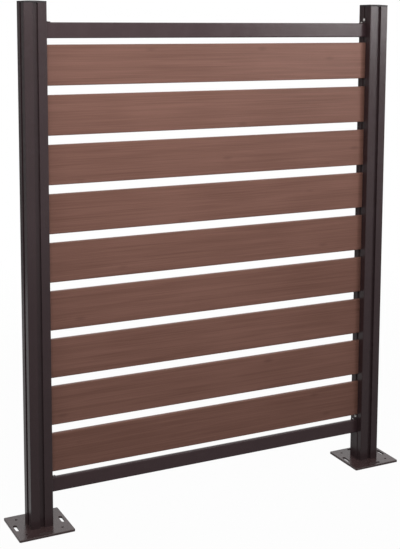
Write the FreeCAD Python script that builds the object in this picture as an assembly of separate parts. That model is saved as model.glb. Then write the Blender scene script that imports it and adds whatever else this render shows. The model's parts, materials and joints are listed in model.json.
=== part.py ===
import FreeCAD, Part
import math
import os

os.makedirs("parts", exist_ok=True)

# Garden privacy screen: two grooved posts on base plates, with nine slats between two rails.
# Slats and rails slide down the posts' inner grooves, where spacers hold them apart.
# All lengths are in millimetres. X runs along the screen, Y through it and Z up.
# The origin is on the ground, midway between the posts.

# Overall layout
bay_width = 1263.5          # clear width between the posts' inner faces
slat_count = 9
ground_gap = 107.5          # from the base plates up to the bottom rail
rail_gap = 21.0             # open height between a rail and the slat beside it
slat_gap = 31.0             # open height between two slats
post_above_rail = 63.5      # post length above the top rail

# Posts: an aluminium extrusion with the same groove in all four sides
post_side = 78.0
post_corner_radius = 3.0
post_wall = 2.5
groove_width = 17.0
groove_depth = 10.0
groove_lip_radius = 1.0
groove_floor_radius = 1.2
port_radius = 5.0           # screw ports that run up the hollow corners
port_overlap = 1.0          # how far a port is sunk into the walls it joins

# Slats: hollow composite boards
slat_height = 136.0
slat_thickness = 16.0
slat_edge_radius = 3.0
slat_wall = 3.5
slat_rib = 3.5
slat_chamber_count = 8

# Rails: flat hollow aluminium sections
rail_height = 52.5
rail_thickness = 15.8
rail_edge_radius = 4.0
rail_wall = 1.8
groove_end_play = 1.0       # from the end of a slat or rail to the groove floor

# Spacers and fillers: channels cut from one section that sits in the groove
spacer_width = 16.4
spacer_wall = 2.0
spacer_recess = 4.5         # from the post's face back to the spacer's web
spacer_edge_radius = 0.6
spacer_floor_play = 0.2

# Foot strips: they carry the bottom rail and clip over the groove below it
strip_flange_width = 27.0
strip_flange_thickness = 2.2
strip_edge_radius = 0.8

# Rail brackets: bent straps that hold the rails down
bracket_thickness = 2.5
bracket_width = 22.0
bracket_height = 21.0
bracket_corner_radius = 4.0
bracket_foot_length = 22.0
bracket_foot_width = 12.0
bracket_bend_radius = 1.0
bracket_screw_height = 12.5
bracket_foot_screw_reach = 14.0

# Base plates
plate_side = 195.0
plate_thickness = 8.0
plate_corner_radius = 4.0
plate_chamfer = 0.8
anchor_hole_diameter = 9.0
anchor_spacing = 126.0
slot_width = 13.0
slot_length = 48.0
slot_margin = 10.0          # from the plate's edge to a slot

# Post caps
cap_rim_height = 5.5
cap_crown_height = 2.0
cap_crown_side = 24.0
cap_crown_margin = 2.0      # flat border round the crown
plug_depth = 14.0
plug_wall = 2.0
plug_radius = 3.0
plug_play = 0.3             # between the plug and the backs of the groove walls

# Fasteners
wall_screw_diameter = 5.0
wall_screw_length = 19.0
wall_screw_head_diameter = 11.0
wall_screw_head_height = 3.6
foot_screw_diameter = 3.5
foot_screw_length = 9.0
foot_screw_head_diameter = 7.0
foot_screw_head_height = 2.4
base_screw_diameter = 5.0
base_screw_length = 38.0
base_screw_head_diameter = 11.0
base_screw_sink = 0.4       # the heads stop this far inside the plate's underside
screw_play = 0.2            # a threaded hole is wider than its screw by this much
hole_play = 0.9             # a through hole is wider than its screw by this much
recess_width_share = 0.16   # arm width of a cross recess, as a share of the head
recess_length_share = 0.58
recess_depth_share = 0.55
tip_share = 0.9             # length of a screw's point, in shank diameters
tip_flat_share = 0.25       # width of the point's blunt end, in shank diameters
dome_share = 0.6            # height of a pan head's dome, as a share of the head

# Heights of everything in the stack, from the ground up
plate_top = plate_thickness
bottom_rail_base = plate_top + ground_gap
bottom_rail_top = bottom_rail_base + rail_height
first_slat_base = bottom_rail_top + rail_gap
slat_pitch = slat_height + slat_gap
last_slat_top = first_slat_base + slat_count * slat_pitch - slat_gap
top_rail_base = last_slat_top + rail_gap
top_rail_top = top_rail_base + rail_height
post_top = top_rail_top + post_above_rail

# Places across the screen
post_face = bay_width / 2
post_centre = post_face + post_side / 2
groove_floor = post_face + groove_depth
port_reach = post_side / 2 - post_wall - port_radius + port_overlap
panel_length = 2 * (groove_floor - groove_end_play)
slot_reach = plate_side / 2 - slot_margin - slot_width / 2

ORIGIN = FreeCAD.Vector(0, 0, 0)
X_AXIS = FreeCAD.Vector(1, 0, 0)
Y_AXIS = FreeCAD.Vector(0, 1, 0)
Z_AXIS = FreeCAD.Vector(0, 0, 1)
EVEN_AXIS = FreeCAD.Vector(1, 1, 1)
QUARTER_TURN = 90.0
THIRD_TURN = 120.0
HALF_TURN = 180.0
FULL_TURN = 360.0
MARGIN = 1.0                # how far a cutter runs past the face it cuts


def rounded_face(corners):
    """Flat face in XY; each corner is (x, y, radius), listed anticlockwise."""
    points = [FreeCAD.Vector(x, y, 0) for x, y, radius in corners]
    arcs = []
    for index, (x, y, radius) in enumerate(corners):
        corner = points[index]
        back = (points[index - 1] - corner).normalize()
        ahead = (points[(index + 1) % len(points)] - corner).normalize()
        half_turn = back.getAngle(ahead) / 2
        middle_line = (back + ahead).normalize()
        setback = radius / math.tan(half_turn)
        bulge = radius / math.sin(half_turn) - radius
        arcs.append((corner + back * setback, corner + middle_line * bulge, corner + ahead * setback))
    edges = []
    for index, (start, middle, end) in enumerate(arcs):
        if corners[index][2] > 0:
            edges.append(Part.Arc(start, middle, end).toShape())
        following = arcs[(index + 1) % len(arcs)][0]
        edges.append(Part.makeLine(end, following))
    return Part.Face(Part.Wire(edges))


def rectangle(width, height, radius, centre_x=0.0, centre_y=0.0):
    """Rounded rectangle in XY about the given centre."""
    left, right = centre_x - width / 2, centre_x + width / 2
    low, high = centre_y - height / 2, centre_y + height / 2
    return rounded_face([(right, low, radius), (right, high, radius), (left, high, radius), (left, low, radius)])


def upright(section, base, height):
    """Section in XY, extruded up from the height of its base."""
    prism = section.extrude(Z_AXIS * height)
    prism.translate(Z_AXIS * base)
    return prism


def lengthwise(section, length):
    """Section given as (y, z), extruded along X and centred on the origin."""
    prism = section.extrude(Z_AXIS * length)
    prism.rotate(ORIGIN, EVEN_AXIS, THIRD_TURN)
    prism.translate(X_AXIS * (-length / 2))
    return prism


def rod(diameter, start, direction, length):
    """Round bar or hole cutter."""
    return Part.makeCylinder(diameter / 2, length, start, direction)


def on_four_sides(corners):
    """Repeats one side's run of corners round all four sides of a square."""
    run = []
    for quarter in range(4):
        cosine = round(math.cos(quarter * math.pi / 2))
        sine = round(math.sin(quarter * math.pi / 2))
        for x, y, radius in corners:
            run.append((x * cosine - y * sine, x * sine + y * cosine, radius))
    return run


def four_corners(reach_x, reach_y):
    """The four points that stand the given distances off both axes."""
    return [(x, y) for x in (-reach_x, reach_x) for y in (-reach_y, reach_y)]


def post_section():
    """Square tube wall with a groove in each side."""
    half = post_side / 2
    groove_half = groove_width / 2
    outline = [
        (half, -groove_half, groove_lip_radius),
        (half - groove_depth, -groove_half, groove_floor_radius),
        (half - groove_depth, groove_half, groove_floor_radius),
        (half, groove_half, groove_lip_radius),
        (half, half, post_corner_radius),
    ]
    inside = half - post_wall
    block_half = groove_half + post_wall
    cavity = [
        (inside, -block_half, 0),
        (inside - groove_depth, -block_half, 0),
        (inside - groove_depth, block_half, 0),
        (inside, block_half, 0),
        (inside, inside, 0),
    ]
    return rounded_face(on_four_sides(outline)).cut(rounded_face(on_four_sides(cavity)))


def round_face(diameter, x, y):
    """Disc in XY."""
    circle = Part.makeCircle(diameter / 2, FreeCAD.Vector(x, y, 0))
    return Part.Face(Part.Wire(circle))


def bracket_screw_axes():
    """Heights at which a bracket's wall screw enters the post."""
    return [rail_top + bracket_screw_height for rail_top in (bottom_rail_top, top_rail_top)]


def right_post():
    """The post with its four screw ports and the two threaded holes for its bracket screws."""
    length = post_top - plate_top
    post = upright(post_section(), plate_top, length)
    for x, y in four_corners(port_reach, port_reach):
        post = post.fuse(upright(round_face(2 * port_radius, x, y), plate_top, length))
    for x, y in four_corners(port_reach, port_reach):
        bore = round_face(base_screw_diameter + screw_play, x, y)
        post = post.cut(upright(bore, plate_top, length))
    post = post.removeSplitter()
    post.translate(X_AXIS * post_centre)
    for height in bracket_screw_axes():
        start = FreeCAD.Vector(groove_floor - MARGIN, 0, height)
        hole = rod(wall_screw_diameter + screw_play, start, X_AXIS, post_wall + 2 * MARGIN)
        post = post.cut(hole)
    return post


def right_cap():
    """Square lid with a low crown and a hollow plug that fits between the groove walls."""
    rim = upright(rectangle(post_side, post_side, post_corner_radius), post_top, cap_rim_height)
    rim_top = post_top + cap_rim_height
    crown_base_side = post_side - 2 * cap_crown_margin
    lower = rectangle(crown_base_side, crown_base_side, 0)
    upper = rectangle(cap_crown_side, cap_crown_side, 0)
    lower.translate(Z_AXIS * rim_top)
    upper.translate(Z_AXIS * (rim_top + cap_crown_height))
    crown = Part.makeLoft([lower.OuterWire, upper.OuterWire], True, True)
    plug_side = post_side - 2 * (groove_depth + post_wall + plug_play)
    plug_face = rectangle(plug_side, plug_side, plug_radius)
    bore_side = plug_side - 2 * plug_wall
    bore_face = rectangle(bore_side, bore_side, 0)
    plug = upright(plug_face.cut(bore_face), post_top - plug_depth, plug_depth)
    cap = rim.fuse([crown, plug])
    cap.translate(X_AXIS * post_centre)
    return cap.removeSplitter()


def right_base_plate():
    """Square plate with four anchor holes, a slot along each edge and four countersunk holes."""
    outline = rectangle(plate_side, plate_side, plate_corner_radius)
    plate = upright(outline, 0, plate_thickness)
    top_edges = [edge for edge in plate.Edges if edge.BoundBox.ZMin > plate_thickness - plate_chamfer]
    plate = plate.makeChamfer(plate_chamfer, top_edges)
    cut_height = plate_thickness + 2 * MARGIN
    cutters = []
    for x, y in four_corners(anchor_spacing / 2, anchor_spacing / 2):
        cutters.append(upright(round_face(anchor_hole_diameter, x, y), -MARGIN, cut_height))
    slot = rounded_slot(slot_length, slot_width)
    slot.translate(Y_AXIS * slot_reach)
    for quarter in range(4):
        cutter = upright(slot, -MARGIN, cut_height)
        cutter.rotate(ORIGIN, Z_AXIS, QUARTER_TURN * quarter)
        cutters.append(cutter)
    for x, y in four_corners(port_reach, port_reach):
        start = FreeCAD.Vector(x, y, -MARGIN)
        cutters.append(rod(base_screw_diameter + hole_play, start, Z_AXIS, cut_height))
        cutters.append(countersink(x, y))
    plate = plate.cut(cutters)
    plate.translate(X_AXIS * post_centre)
    return plate


def rounded_slot(length, width):
    """Slot outline along X with full round ends."""
    reach = (length - width) / 2
    low = FreeCAD.Vector(-reach, -width / 2, 0)
    high = FreeCAD.Vector(-reach, width / 2, 0)
    far_low = FreeCAD.Vector(reach, -width / 2, 0)
    far_high = FreeCAD.Vector(reach, width / 2, 0)
    near_end = Part.Arc(high, FreeCAD.Vector(-length / 2, 0, 0), low)
    far_end = Part.Arc(far_low, FreeCAD.Vector(length / 2, 0, 0), far_high)
    edges = [
        Part.makeLine(low, far_low),
        far_end.toShape(),
        Part.makeLine(far_high, high),
        near_end.toShape(),
    ]
    return Part.Face(Part.Wire(edges))


def countersink(x, y):
    """Cone that takes a base screw's head at the plate's underside."""
    wide = base_screw_head_diameter / 2 + screw_play / 2
    narrow = base_screw_diameter / 2
    mouth = Part.makeCylinder(wide, base_screw_sink + MARGIN, FreeCAD.Vector(x, y, -MARGIN))
    cone = Part.makeCone(wide, narrow, wide - narrow, FreeCAD.Vector(x, y, base_screw_sink))
    return mouth.fuse(cone)


def slat_section():
    """Board outline with a row of chambers, as (y, z) from the board's lower edge."""
    face = rectangle(slat_thickness, slat_height, slat_edge_radius, 0, slat_height / 2)
    inner_height = slat_height - 2 * slat_wall
    chamber_height = (inner_height - (slat_chamber_count - 1) * slat_rib) / slat_chamber_count
    chamber_width = slat_thickness - 2 * slat_wall
    for row in range(slat_chamber_count):
        middle = slat_wall + chamber_height / 2 + row * (chamber_height + slat_rib)
        chamber = rectangle(chamber_width, chamber_height, 0, 0, middle)
        face = face.cut(chamber)
    return face


def rail_section():
    """Flat box section with a middle web, as (y, z) from the rail's lower edge."""
    face = rectangle(rail_thickness, rail_height, rail_edge_radius, 0, rail_height / 2)
    cavity_width = rail_thickness - 2 * rail_wall
    cavity_height = (rail_height - 3 * rail_wall) / 2
    cavity_radius = rail_edge_radius - rail_wall
    for row in range(2):
        middle = rail_wall + cavity_height / 2 + row * (cavity_height + rail_wall)
        face = face.cut(rectangle(cavity_width, cavity_height, cavity_radius, 0, middle))
    return face


def rail(base):
    """A rail with the two threaded holes for its bracket feet."""
    bar = lengthwise(rail_section(), panel_length)
    for reach in (-1, 1):
        x = reach * (post_face - bracket_foot_screw_reach)
        start = FreeCAD.Vector(x, 0, rail_height + MARGIN)
        hole = rod(foot_screw_diameter + screw_play, start, -Z_AXIS, rail_wall + 2 * MARGIN)
        bar = bar.cut(hole)
    bar.translate(Z_AXIS * base)
    return bar


def spacer_section():
    """Channel with its web towards the screen and its two legs on the groove floor."""
    web = post_face + spacer_recess
    feet = groove_floor - spacer_floor_play
    half = spacer_width / 2
    leg = half - spacer_wall
    return rounded_face([
        (web, -half, spacer_edge_radius),
        (feet, -half, groove_floor_radius),
        (feet, -leg, 0),
        (web + spacer_wall, -leg, 0),
        (web + spacer_wall, leg, 0),
        (feet, leg, 0),
        (feet, half, groove_floor_radius),
        (web, half, spacer_edge_radius),
    ])


def right_spacer(base, height, screw_height=None):
    """Length of spacer channel; the bracket screw passes through it where there is one."""
    spacer = upright(spacer_section(), base, height)
    if screw_height is not None:
        start = FreeCAD.Vector(post_face, 0, screw_height)
        spacer = spacer.cut(rod(wall_screw_diameter + hole_play, start, X_AXIS, groove_depth))
    return spacer


def right_foot_strip():
    """Flanged strip whose two legs stand in the groove and whose top end carries the bottom rail."""
    front = post_face - strip_flange_thickness
    feet = groove_floor - spacer_floor_play
    flange = strip_flange_width / 2
    half = spacer_width / 2
    leg = half - spacer_wall
    section = rounded_face([
        (front, -flange, strip_edge_radius),
        (post_face, -flange, 0),
        (post_face, -half, 0),
        (feet, -half, groove_floor_radius),
        (feet, -leg, 0),
        (post_face, -leg, 0),
        (post_face, leg, 0),
        (feet, leg, 0),
        (feet, half, groove_floor_radius),
        (post_face, half, 0),
        (post_face, flange, 0),
        (front, flange, strip_edge_radius),
    ])
    return upright(section, plate_top, ground_gap)


def right_bracket(rail_top):
    """Bent strap: its leg is screwed to the post and its foot to the top of the rail."""
    inner_face = post_face - bracket_thickness
    foot_top = rail_top + bracket_thickness
    leg_top = rail_top + bracket_height
    foot_end = post_face - bracket_foot_length
    outer_bend = bracket_bend_radius + bracket_thickness
    profile = rounded_face([
        (foot_end, rail_top, 0),
        (post_face, rail_top, outer_bend),
        (post_face, leg_top, 0),
        (inner_face, leg_top, 0),
        (inner_face, foot_top, bracket_bend_radius),
        (foot_end, foot_top, 0),
    ])
    strap = profile.extrude(Z_AXIS * bracket_width)
    strap.translate(Z_AXIS * (-bracket_width / 2))
    strap.rotate(ORIGIN, X_AXIS, QUARTER_TURN)
    leg_outline = rounded_face([
        (-bracket_width / 2, rail_top - MARGIN, 0),
        (bracket_width / 2, rail_top - MARGIN, 0),
        (bracket_width / 2, leg_top, bracket_corner_radius),
        (-bracket_width / 2, leg_top, bracket_corner_radius),
    ])
    leg_outline.rotate(ORIGIN, EVEN_AXIS, THIRD_TURN)
    leg_outline.translate(X_AXIS * (post_face - outer_bend))
    leg_space = leg_outline.extrude(X_AXIS * (outer_bend + MARGIN))
    foot_outline = rectangle(2 * bracket_foot_length, bracket_foot_width, bracket_bend_radius, post_face)
    foot_space = upright(foot_outline, rail_top - MARGIN, bracket_thickness + 2 * MARGIN)
    strap = strap.common(leg_space.fuse(foot_space))
    wall_start = FreeCAD.Vector(inner_face - MARGIN, 0, rail_top + bracket_screw_height)
    wall_hole = rod(wall_screw_diameter + hole_play, wall_start, X_AXIS, bracket_thickness + 2 * MARGIN)
    foot_start = FreeCAD.Vector(post_face - bracket_foot_screw_reach, 0, rail_top - MARGIN)
    foot_hole = rod(foot_screw_diameter + hole_play, foot_start, Z_AXIS, bracket_thickness + 2 * MARGIN)
    return strap.cut([wall_hole, foot_hole]).removeSplitter()


def cross_recess(head_diameter, head_height):
    """Cutter for a cross recess in the top of a head that ends at the given height."""
    arm_length = head_diameter * recess_length_share
    arm_width = head_diameter * recess_width_share
    depth = head_height * recess_depth_share
    plan = rectangle(arm_length, arm_width, 0).fuse(rectangle(arm_width, arm_length, 0))
    return upright(plan, head_height - depth, depth + MARGIN)


def screw_shank(diameter, length):
    """Shank down the Z axis from the origin, with a blunt point."""
    tip = diameter * tip_share
    body = rod(diameter, ORIGIN, -Z_AXIS, length - tip)
    flat = diameter * tip_flat_share
    point = Part.makeCone(diameter / 2, flat / 2, tip, FreeCAD.Vector(0, 0, tip - length), -Z_AXIS)
    return body.fuse(point)


def pan_screw(diameter, length, head_diameter, head_height):
    """Screw with a domed head that stands on the plane z = 0."""
    rise = head_height * dome_share
    rim_height = head_height - rise
    rim = Part.makeCylinder(head_diameter / 2, rim_height)
    start = FreeCAD.Vector(head_diameter / 2, 0, rim_height)
    crown = FreeCAD.Vector(0, 0, head_height)
    dome_radius = ((head_diameter / 2) ** 2 + rise ** 2) / (2 * rise)
    swing = math.asin(head_diameter / 2 / dome_radius) / 2
    shoulder = FreeCAD.Vector(
        dome_radius * math.sin(swing), 0, head_height - dome_radius * (1 - math.cos(swing)))
    foot = FreeCAD.Vector(0, 0, rim_height)
    outline = Part.Wire([
        Part.makeLine(foot, start),
        Part.Arc(start, shoulder, crown).toShape(),
        Part.makeLine(crown, foot),
    ])
    dome = Part.Face(outline).revolve(ORIGIN, Z_AXIS, FULL_TURN)
    screw = rim.fuse([dome, screw_shank(diameter, length)])
    return screw.cut(cross_recess(head_diameter, head_height)).removeSplitter()


def countersunk_screw(diameter, length, head_diameter):
    """Screw with a flat head whose top is the plane z = 0."""
    head_height = (head_diameter - diameter) / 2
    head = Part.makeCone(head_diameter / 2, diameter / 2, head_height, ORIGIN, -Z_AXIS)
    screw = head.fuse(screw_shank(diameter, length))
    recess = cross_recess(head_diameter, head_height)
    recess.translate(-Z_AXIS * head_height)
    return screw.cut(recess).removeSplitter()


def right_bracket_screws(rail_top):
    """The wall screw and the foot screw of one bracket."""
    wall_screw = pan_screw(
        wall_screw_diameter, wall_screw_length, wall_screw_head_diameter, wall_screw_head_height)
    wall_screw.rotate(ORIGIN, Y_AXIS, -QUARTER_TURN)
    head_seat = post_face - bracket_thickness
    wall_screw.translate(FreeCAD.Vector(head_seat, 0, rail_top + bracket_screw_height))
    foot_screw = pan_screw(
        foot_screw_diameter, foot_screw_length, foot_screw_head_diameter, foot_screw_head_height)
    foot_place = FreeCAD.Vector(post_face - bracket_foot_screw_reach, 0, rail_top + bracket_thickness)
    foot_screw.translate(foot_place)
    return Part.makeCompound([wall_screw, foot_screw])


def right_base_screws():
    """Four screws that hold the base plate to the post's screw ports."""
    screws = []
    for x, y in four_corners(port_reach, port_reach):
        screw = countersunk_screw(base_screw_diameter, base_screw_length, base_screw_head_diameter)
        screw.rotate(ORIGIN, X_AXIS, HALF_TURN)
        screw.translate(FreeCAD.Vector(post_centre + x, y, base_screw_sink))
        screws.append(screw)
    return Part.makeCompound(screws)


def write(name, shape):
    """One file for each node."""
    shape.exportStep(os.path.join("parts", name + ".step"))


def write_pair(name, shape):
    """The right-hand piece and its mirror image on the left."""
    write("right_" + name, shape)
    write("left_" + name, shape.mirror(ORIGIN, X_AXIS))


def write_slats():
    """All slats, numbered from the bottom."""
    board = lengthwise(slat_section(), panel_length)
    for number in range(slat_count):
        slat = board.copy()
        slat.translate(Z_AXIS * (first_slat_base + number * slat_pitch))
        write("slat_%d" % (number + 1), slat)


def write_spacers():
    """Spacers between slats, between slats and rails, and above the top rail."""
    for number in range(slat_count - 1):
        base = first_slat_base + slat_height + number * slat_pitch
        write_pair("slat_spacer_%d" % (number + 1), right_spacer(base, slat_gap))
    lower_screw, upper_screw = bracket_screw_axes()
    write_pair("lower_rail_spacer", right_spacer(bottom_rail_top, rail_gap, lower_screw))
    write_pair("upper_rail_spacer", right_spacer(last_slat_top, rail_gap))
    write_pair("groove_filler", right_spacer(top_rail_top, post_above_rail, upper_screw))


write_pair("post", right_post())
write_pair("post_cap", right_cap())
write_pair("base_plate", right_base_plate())
write_pair("base_screws", right_base_screws())
write_pair("foot_strip", right_foot_strip())
write("bottom_rail", rail(bottom_rail_base))
write("top_rail", rail(top_rail_base))
for level, rail_top in (("lower", bottom_rail_top), ("upper", top_rail_top)):
    write_pair(level + "_bracket", right_bracket(rail_top))
    write_pair(level + "_bracket_screws", right_bracket_screws(rail_top))
write_slats()
write_spacers()
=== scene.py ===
import json
import math

import bpy
from mathutils import Matrix, Vector


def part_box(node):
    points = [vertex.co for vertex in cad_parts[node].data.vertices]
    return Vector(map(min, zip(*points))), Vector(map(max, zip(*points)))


# Garden privacy screen: finishes for the posts, rails, boards, plates, caps and screws,
# and a plain white studio. Lengths are in metres, colours are linear.

# Camera, fitted to the photograph's edges with less shift than its crop has, so that the
# screen also stays inside the picture when it is seen from other sides
IMAGE_WIDTH = 400
IMAGE_HEIGHT = 549
FOCAL_PIXELS = 1141.10
PRINCIPAL_COLUMN = 256.00
PRINCIPAL_ROW = 154.00
SENSOR = 36.0
CAMERA_PLACE = (-1.7994, -3.6622, 1.7873)
CAMERA_YAW = 0.49289
CAMERA_PITCH = -0.12710
CAMERA_ROLL = 0.01014

# Studio
WHITE = (1.0, 1.0, 1.0, 1.0)
FLOOR_REACH = 30.0
FLOOR_DROP = 0.0004
FLOOR_COLOUR = (0.22, 0.22, 0.22, 1.0)
FLOOR_NEAR_WHITE = 0.98     # share of plain white that the floor shows beside the screen
FLOOR_FADE = (1.6, 4.0)     # from here to here the floor turns wholly white
SKY_STRENGTH = 0.28
LAMPS = {
    # name: (place, aim, side, power in watts, spread in degrees)
    "left": ((-1.4, -2.1, 2.8), (-0.2, 0.0, 1.2), 1.1, 31.0, 180),
    "right": ((1.4, -2.1, 2.8), (0.2, 0.0, 1.2), 1.1, 25.0, 180),
    "brow": ((-0.2, -2.3, 2.35), (-0.4, 0.0, 1.9), 0.7, 1.9, 80),
    "sheen": ((2.2, -2.45, 2.07), (0.45, 0.0, 1.9), 0.8, 4.0, 70),
    "rim": ((-3.2, -1.3, 2.3), (-0.7, 0.0, 1.2), 0.6, 4.0, 120),
    "back": ((1.1, 3.2, 0.6), (0.0, 0.0, 0.9), 0.9, 34.0, 120),
}
UNMIRRORED_LAMPS = ("back",)    # mirrored at a grazing angle, it would glare on the plates
# Dark cards that only reflections see: how bright each is, and its corners
CARDS = {
    # beyond the left post, mirrored in its outer face
    "side_card": (0.18, (-3.6, 3.2, 0.0), (-0.4, 3.2, 0.0), (-0.4, 3.2, 2.8), (-3.6, 3.2, 2.8)),
    # on the floor round the screen, mirrored in the posts' lower halves
    "floor_card": (0.5, (-4.0, -4.0, 0.001), (4.0, -4.0, 0.001), (4.0, 4.0, 0.001), (-4.0, 4.0, 0.001)),
}

# Powder coat: its darker and lighter clouds, its rubbed edges and how much it mirrors
POST_LOW = (0.036, 0.0205, 0.0225, 1.0)
POST_HIGH = (0.046, 0.0275, 0.03, 1.0)
# The rails' copy of the coat is painted lighter than the posts': painted light, standing in for the
# light the rails catch
RAIL_LIT_LOW = (0.051, 0.0295, 0.0325, 1.0)
RAIL_LIT_HIGH = (0.063, 0.0375, 0.041, 1.0)
COAT_EDGE = (0.11, 0.085, 0.088, 1.0)
POST_GLOSS = 0.3
RAIL_GLOSS = 0.25

# Coat on the plates: clouds, dust in the scuffs and rubbed edges
PLATE_LOW = (0.055, 0.032, 0.033, 1.0)
PLATE_HIGH = (0.078, 0.047, 0.047, 1.0)
PLATE_DUST = (0.13, 0.1, 0.095, 1.0)
PLATE_EDGE = (0.12, 0.1, 0.095, 1.0)

# Boards: darker and lighter grain, knots, and painted shade along the edges
BOARD_LOW = (0.172, 0.081, 0.06, 1.0)
BOARD_HIGH = (0.238, 0.117, 0.09, 1.0)
BOARD_KNOT = (0.1, 0.045, 0.034, 1.0)
# painted shade: the colour that darkens the boards' rounded edges
BOARD_EDGE_SHADE = (0.085, 0.04, 0.031, 1.0)

# Caps, channel strips and screws
CAP_LOW = (0.026, 0.021, 0.022, 1.0)
CAP_HIGH = (0.034, 0.028, 0.029, 1.0)
CAP_EDGE = (0.08, 0.07, 0.07, 1.0)
STRIP_LOW = (0.03, 0.021, 0.0215, 1.0)
STRIP_HIGH = (0.042, 0.031, 0.032, 1.0)
STEEL_LOW = (0.5, 0.49, 0.47, 1.0)
STEEL_HIGH = (0.68, 0.67, 0.65, 1.0)

# Boards from the bottom up; their places are read from the frame
BOARD_NAMES = ["slat_%d" % number for number in range(1, 10)]


class Value:
    """A number in a shader; arithmetic on it adds Math nodes."""

    def __init__(self, tree, socket):
        self.tree = tree
        self.socket = socket

    def maths(self, operation, *terms):
        return self.tree.add("ShaderNodeMath", {"operation": operation}, dict(enumerate(terms)))

    def floor(self):
        return self.maths("FLOOR", self)

    def __add__(self, other):
        return self.maths("ADD", self, other)

    def __radd__(self, other):
        return self.maths("ADD", other, self)

    def __sub__(self, other):
        return self.maths("SUBTRACT", self, other)

    def __rsub__(self, other):
        return self.maths("SUBTRACT", other, self)

    def __mul__(self, other):
        return self.maths("MULTIPLY", self, other)

    def __rmul__(self, other):
        return self.maths("MULTIPLY", other, self)

    def __truediv__(self, other):
        return self.maths("DIVIDE", self, other)


class Tree:
    """The node tree of one material or of the world."""

    def __init__(self, owner):
        owner.use_nodes = True
        self.nodes = owner.node_tree.nodes
        self.links = owner.node_tree.links
        self.nodes.clear()

    def add(self, kind, settings=None, inputs=None, output=0):
        """Adds a node: settings first, then a value or a link for each socket."""
        node = self.nodes.new(kind)
        for name, value in (settings or {}).items():
            if name == "stops":
                set_stops(node.color_ramp, value)
            else:
                setattr(node, name, value)
        for key, value in (inputs or {}).items():
            if isinstance(value, Value):
                self.links.new(value.socket, node.inputs[key])
            else:
                node.inputs[key].default_value = value
        return Value(self, node.outputs[output]) if node.outputs else node

    def split(self, vector):
        """The three numbers of a vector."""
        separate = self.nodes.new("ShaderNodeSeparateXYZ")
        self.links.new(vector.socket, separate.inputs[0])
        return [Value(self, output) for output in separate.outputs]

    def joined(self, x, y, z):
        """A vector from three numbers."""
        return self.add("ShaderNodeCombineXYZ", {}, {0: x, 1: y, 2: z})

    def mixed(self, factor, low, high):
        """A colour between two others."""
        return self.add("ShaderNodeMix", {"data_type": "RGBA"}, {0: factor, 6: low, 7: high}, 2)

    def ramp(self, factor, *stops):
        """A number from 0 to 1 read off a ramp; each stop is (place, height)."""
        grey = [(place, (height, height, height, 1.0)) for place, height in stops]
        return self.add("ShaderNodeValToRGB", {"stops": grey}, {0: factor})

    def noise(self, vector, scale, detail=3.0, roughness=0.5, distortion=0.0):
        """Smooth random number about 0.5."""
        inputs = {
            "Vector": vector, "Scale": scale, "Detail": detail,
            "Roughness": roughness, "Distortion": distortion,
        }
        return self.add("ShaderNodeTexNoise", {"noise_dimensions": "3D"}, inputs)

    def place(self):
        """Where a point is, in the object's own metres."""
        return self.add("ShaderNodeTexCoord", {}, {}, 3)

    def edge(self, radius):
        """1 along the sharp edges of a solid and 0 on its faces."""
        rounded = self.add("ShaderNodeBevel", {"samples": 4}, {"Radius": radius})
        true_normal = self.add("ShaderNodeNewGeometry", {}, {}, 1)
        turn = self.add(
            "ShaderNodeVectorMath", {"operation": "DOT_PRODUCT"}, {0: rounded, 1: true_normal}, 1)
        return self.ramp(1 - turn, (0.02, 0.0), (0.2, 1.0))

    def bump(self, height, distance, strength=1.0):
        """A normal for a surface raised by height times distance."""
        inputs = {"Height": height, "Distance": distance, "Strength": strength}
        return self.add("ShaderNodeBump", {}, inputs)


def set_stops(ramp, stops):
    """Gives a colour ramp its stops."""
    while len(ramp.elements) < len(stops):
        ramp.elements.new(1.0)
    for element, (place, colour) in zip(ramp.elements, stops):
        element.position = place
        element.color = colour


def finish(name, build):
    """A material whose Principled sockets come from a build function."""
    material = bpy.data.materials.new(name)
    tree = Tree(material)
    shader = tree.add("ShaderNodeBsdfPrincipled", {}, build(tree))
    tree.add("ShaderNodeOutputMaterial", {}, {0: shader})
    return material


def grained_board(tree):
    """Brown composite board: brushed grain lines, soft streaks, small knots, and painted shade that
    darkens the edges.
    """
    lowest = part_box(BOARD_NAMES[0])[0].z
    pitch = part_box(BOARD_NAMES[1])[0].z - lowest
    x, y, z = tree.split(tree.place())
    board = ((z - lowest) / pitch + 0.1).floor()
    shifted = x + board * 3.7
    streak_place = tree.joined(shifted * 1.6, y * 40 + board * 5.3, z * 46)
    streaks = tree.noise(streak_place, 1.0, 4.0, 0.55, 0.3)
    line_place = tree.joined(shifted * 3.5, y * 220 + board, z * 230)
    lines = tree.noise(line_place, 1.0, 3.0, 0.6)
    hair_place = tree.joined(shifted * 14.0, y * 800, z * 820)
    hairs = tree.noise(hair_place, 1.0, 2.0, 0.6)
    patches = tree.noise(tree.joined(shifted, y, z + board * 2.1), 2.2, 2.0)
    knot_place = tree.joined(shifted * 1.0, board * 1.7, z * 2.6)
    knot_cells = tree.add(
        "ShaderNodeTexVoronoi", {"feature": "F1"},
        {"Vector": knot_place, "Scale": 5.0, "Randomness": 1.0})
    knots = tree.ramp(knot_cells, (0.03, 1.0), (0.13, 0.0))
    tone = 0.3 * streaks + 0.45 * lines + 0.25 * patches
    shade = tree.ramp(tone, (0.39, 0.0), (0.61, 1.0))
    colour = tree.mixed(shade, BOARD_LOW, BOARD_HIGH)
    colour = tree.mixed(knots * 0.35, colour, BOARD_KNOT)
    # painted shade along the boards' edges
    edge_shaded = tree.mixed(tree.edge(0.0015) * 0.5, colour, BOARD_EDGE_SHADE)
    height = 0.5 * lines + 0.3 * hairs + 0.2 * streaks
    return {
        "Base Color": edge_shaded,
        "Roughness": 0.3 + 0.2 * lines + 0.06 * patches,
        "Specular IOR Level": 0.2,
        "Normal": tree.bump(height, 0.0014, 0.6),
    }


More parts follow.
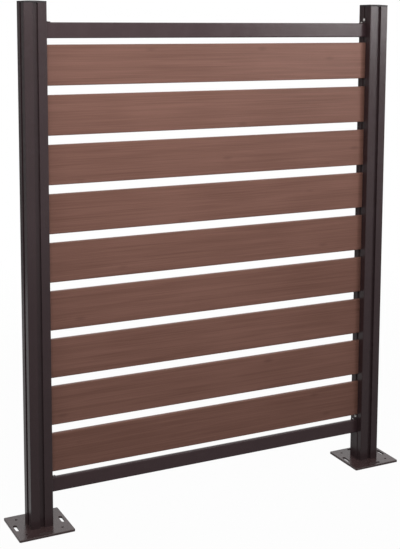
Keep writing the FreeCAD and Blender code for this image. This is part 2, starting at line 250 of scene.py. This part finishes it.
def powder_coat(along, low, high, gloss):
    """Dark bronze powder coat over an extrusion whose die lines run along one axis."""
    def build(tree):
        x, y, z = tree.split(tree.place())
        squeeze = {"x": (2.0, 260.0, 260.0), "z": (260.0, 260.0, 2.0)}[along]
        die_place = tree.joined(x * squeeze[0], y * squeeze[1], z * squeeze[2])
        die_lines = tree.noise(die_place, 1.0, 3.0, 0.6)
        peel = tree.noise(tree.place(), 1400.0, 2.0, 0.5)
        clouds = tree.noise(tree.place(), 7.0, 3.0, 0.5)
        colour = tree.mixed(clouds, low, high)
        worn = tree.mixed(tree.edge(0.0012) * 0.5, colour, COAT_EDGE)
        return {
            "Base Color": worn,
            "Roughness": 0.18 + 0.1 * clouds + 0.08 * peel,
            "Specular IOR Level": gloss,
            "Normal": tree.bump(0.6 * peel + 0.4 * die_lines, 0.0003, 0.35),
        }
    return build


def plate_coat(tree):
    """The same coat on steel plate: a little warmer, with scuffs and a dusty bloom."""
    peel = tree.noise(tree.place(), 1100.0, 2.0, 0.5)
    clouds = tree.noise(tree.place(), 16.0, 4.0, 0.6)
    scuffs = tree.ramp(tree.noise(tree.place(), 90.0, 5.0, 0.7), (0.58, 0.0), (0.72, 1.0))
    colour = tree.mixed(clouds, PLATE_LOW, PLATE_HIGH)
    dusty = tree.mixed(scuffs * 0.25, colour, PLATE_DUST)
    worn = tree.mixed(tree.edge(0.0014) * 0.5, dusty, PLATE_EDGE)
    return {
        "Base Color": worn,
        "Roughness": 0.16 + 0.1 * clouds + 0.1 * scuffs,
        "Specular IOR Level": 0.45,
        "Normal": tree.bump(peel, 0.0003, 0.35),
    }


def moulded_plastic(tree):
    """Fine-textured moulded cap."""
    spark = tree.noise(tree.place(), 2200.0, 2.0, 0.5)
    clouds = tree.noise(tree.place(), 25.0, 2.0, 0.5)
    colour = tree.mixed(clouds, CAP_LOW, CAP_HIGH)
    worn = tree.mixed(tree.edge(0.001) * 0.4, colour, CAP_EDGE)
    return {
        "Base Color": worn,
        "Roughness": 0.4 + 0.12 * spark,
        "Specular IOR Level": 0.2,
        "Normal": tree.bump(spark, 0.0003, 0.5),
    }


def extruded_plastic(tree):
    """Matt channel strips with fine upright draw lines."""
    x, y, z = tree.split(tree.place())
    draw = tree.noise(tree.joined(x * 700, y * 700, z * 6), 1.0, 3.0, 0.6)
    colour = tree.mixed(draw, STRIP_LOW, STRIP_HIGH)
    return {
        "Base Color": colour,
        "Roughness": 0.5 + 0.15 * draw,
        "Specular IOR Level": 0.35,
        "Normal": tree.bump(draw, 0.0003, 0.4),
    }


def turned_steel(tree):
    """Plain stainless screws with fine turning marks."""
    marks = tree.noise(tree.place(), 1500.0, 3.0, 0.6)
    tarnish = tree.noise(tree.place(), 220.0, 3.0, 0.6)
    colour = tree.mixed(tarnish, STEEL_LOW, STEEL_HIGH)
    return {
        "Base Color": colour,
        "Metallic": 1.0,
        "Roughness": 0.22 + 0.2 * marks,
        "Normal": tree.bump(marks, 0.0002, 0.3),
    }


def white_where_seen(tree, shader, share):
    """Mixes plain white over a shader for the camera, and for gloss and glass that mirror it."""
    path = tree.nodes.new("ShaderNodeLightPath")
    names = ("Is Camera Ray", "Is Glossy Ray", "Is Transmission Ray")
    camera, glossy, transmitted = [Value(tree, path.outputs[name]) for name in names]
    seen = camera.maths("MAXIMUM", camera.maths("MAXIMUM", camera, glossy), transmitted)
    white = tree.add("ShaderNodeEmission", {}, {"Color": WHITE, "Strength": 1.0})
    return tree.add("ShaderNodeMixShader", {}, {0: seen * share, 1: shader, 2: white})


def make_floor():
    """Pale floor that keeps a light shadow."""
    mesh = bpy.data.meshes.new("floor")
    reach = FLOOR_REACH
    corners = [(-reach, -reach, 0), (reach, -reach, 0), (reach, reach, 0), (-reach, reach, 0)]
    mesh.from_pydata([(x, y, -FLOOR_DROP) for x, y, z in corners], [], [(0, 1, 2, 3)])
    floor = bpy.data.objects.new("floor", mesh)
    bpy.context.scene.collection.objects.link(floor)
    material = bpy.data.materials.new("pale_floor")
    tree = Tree(material)
    matt = tree.add("ShaderNodeBsdfDiffuse", {}, {"Color": FLOOR_COLOUR})
    away = tree.add("ShaderNodeVectorMath", {"operation": "LENGTH"}, {0: tree.place()}, 1)
    near, far = FLOOR_FADE
    white_share = tree.ramp((away - near) / (far - near), (0.0, FLOOR_NEAR_WHITE), (1.0, 1.0))
    shader = white_where_seen(tree, matt, white_share)
    tree.add("ShaderNodeOutputMaterial", {}, {0: shader})
    mesh.materials.append(material)


def make_world():
    """Even soft light from a sky that looks white."""
    world = bpy.data.worlds.new("studio")
    bpy.context.scene.world = world
    tree = Tree(world)
    soft = tree.add("ShaderNodeBackground", {}, {"Color": WHITE, "Strength": SKY_STRENGTH})
    shader = white_where_seen(tree, soft, 1.0)
    tree.add("ShaderNodeOutputWorld", {}, {0: shader})


def make_softbox(name, place, aim, side, power, spread):
    """Square lamp that faces its aim."""
    data = bpy.data.lights.new(name, "AREA")
    data.shape = "SQUARE"
    data.size = side
    data.energy = power
    data.spread = math.radians(spread)
    lamp = bpy.data.objects.new(name, data)
    lamp.location = place
    lamp.visible_camera = False
    lamp.visible_glossy = name not in UNMIRRORED_LAMPS
    lamp.rotation_euler = (Vector(aim) - Vector(place)).to_track_quat("-Z", "Y").to_euler()
    bpy.context.scene.collection.objects.link(lamp)


def make_card(name, grey, *corners):
    """Dark card that only reflections see."""
    mesh = bpy.data.meshes.new(name)
    mesh.from_pydata(corners, [], [(0, 1, 2, 3)])
    card = bpy.data.objects.new(name, mesh)
    card.visible_camera = False
    card.visible_diffuse = False
    card.visible_shadow = False
    bpy.context.scene.collection.objects.link(card)
    material = bpy.data.materials.new(name)
    tree = Tree(material)
    shader = tree.add("ShaderNodeEmission", {}, {"Color": WHITE, "Strength": grey})
    tree.add("ShaderNodeOutputMaterial", {}, {0: shader})
    mesh.materials.append(material)


def make_camera():
    """The photograph's camera: about as high as the posts' tops, looking a little down."""
    ahead = Vector((
        math.sin(CAMERA_YAW) * math.cos(CAMERA_PITCH),
        math.cos(CAMERA_YAW) * math.cos(CAMERA_PITCH),
        math.sin(CAMERA_PITCH)))
    right = Vector((math.cos(CAMERA_YAW), -math.sin(CAMERA_YAW), 0.0))
    up = right.cross(ahead)
    cosine, sine = math.cos(CAMERA_ROLL), math.sin(CAMERA_ROLL)
    rolled_right = right * cosine + up * sine
    rolled_up = up * cosine - right * sine
    turn = Matrix((rolled_right, rolled_up, -ahead)).transposed()
    data = bpy.data.cameras.new("camera")
    data.sensor_width = SENSOR
    data.lens = FOCAL_PIXELS / IMAGE_HEIGHT * SENSOR
    data.shift_x = (IMAGE_WIDTH / 2 - PRINCIPAL_COLUMN) / IMAGE_HEIGHT
    data.shift_y = (PRINCIPAL_ROW - IMAGE_HEIGHT / 2) / IMAGE_HEIGHT
    camera = bpy.data.objects.new("camera", data)
    camera.matrix_world = Matrix.Translation(CAMERA_PLACE) @ turn.to_4x4()
    bpy.context.scene.collection.objects.link(camera)
    bpy.context.scene.camera = camera


def dress(frame):
    """Gives every solid its finish, by the material slot that the record names for it."""
    upright_coat = finish("bronze_coat_upright", powder_coat("z", POST_LOW, POST_HIGH, POST_GLOSS))
    lit_level_coat = finish("bronze_coat_level_lit", powder_coat("x", RAIL_LIT_LOW, RAIL_LIT_HIGH, RAIL_GLOSS))
    finishes = {
        "wood_composite": finish("wood_composite", grained_board),
        "coated_steel": finish("plate_coat", plate_coat),
        "cap_plastic": finish("cap_plastic", moulded_plastic),
        "spacer_plastic": finish("spacer_plastic", extruded_plastic),
        "stainless": finish("stainless", turned_steel),
        "bronze_coat": upright_coat,
    }
    for part in frame["record"]["subparts"]:
        solid = frame["nodes"][part["node"]]
        material = finishes[part["material_slot"]]
        # the rails take the coat's copy with die lines along them, painted lighter to stand in for the
        # light they catch
        if part["node"].endswith("_rail"):
            material = lit_level_coat
        for slot in solid.material_slots:
            slot.material = material


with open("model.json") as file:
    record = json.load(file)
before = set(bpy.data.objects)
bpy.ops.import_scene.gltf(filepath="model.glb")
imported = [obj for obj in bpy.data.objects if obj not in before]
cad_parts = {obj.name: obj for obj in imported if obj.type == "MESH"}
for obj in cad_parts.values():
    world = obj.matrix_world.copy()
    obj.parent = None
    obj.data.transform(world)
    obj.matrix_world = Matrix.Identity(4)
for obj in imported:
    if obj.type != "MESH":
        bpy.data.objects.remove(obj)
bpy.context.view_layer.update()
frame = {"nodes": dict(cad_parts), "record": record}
bpy.context.scene.view_settings.view_transform = "Standard"
make_world()
make_floor()
for lamp_name, lamp_facts in LAMPS.items():
    make_softbox(lamp_name, *lamp_facts)
for card_name, card_facts in CARDS.items():
    make_card(card_name, *card_facts)
make_camera()
dress(frame)
